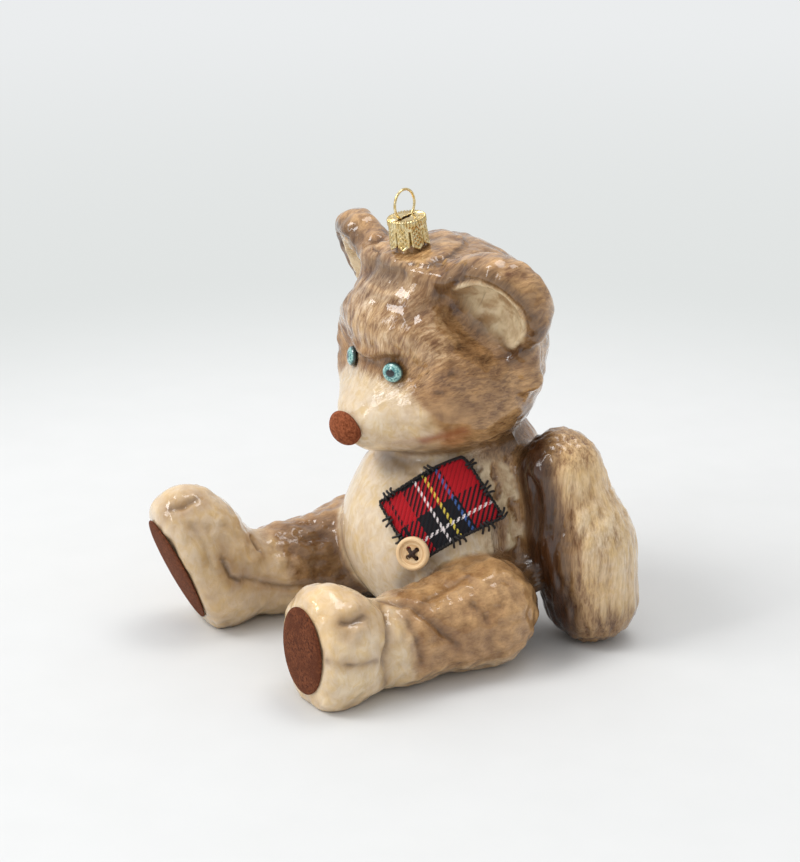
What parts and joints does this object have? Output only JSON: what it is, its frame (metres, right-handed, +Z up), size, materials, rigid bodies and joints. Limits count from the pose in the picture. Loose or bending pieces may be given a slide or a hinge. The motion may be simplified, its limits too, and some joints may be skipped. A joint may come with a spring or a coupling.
{
  "type": "blown glass teddy bear ornament",
  "caption": "Hanging ornament of lacquered blown glass in the shape of a seated, patched teddy bear, with a crimped metal cap, a wire loop, flocked soles, a tartan patch and a button.",
  "frame": {"origin": "on the plane the bear sits on, under the middle of its torso", "axes": "+Z up, the bear faces -Y, its left side is +X"},
  "size_m": [0.098, 0.1045, 0.1185],
  "materials": {
    "lacquered_glass": "brown and cream lacquer under a clear gloss varnish",
    "gold_metal": "polished gold-coloured plating",
    "eye_glass": "teal with a black pupil, polished",
    "flock": "short matt reddish-brown flock",
    "tartan_cloth": "woven tartan twill on a red ground",
    "black_thread": "matt thread",
    "button_horn": "satin tan and cream",
    "brown_thread": "matt thread"
  },
  "bodies": {
    "root": {"glass_bear": "lacquered_glass", "cap": "gold_metal", "hanger_wire": "gold_metal", "left_eye": "eye_glass", "right_eye": "eye_glass", "nose": "flock", "left_foot_pad": "flock", "right_foot_pad": "flock", "tartan_patch": "tartan_cloth", "patch_stitching": "black_thread", "button": "button_horn", "button_thread": "brown_thread"}
  },
  "joints": []
}
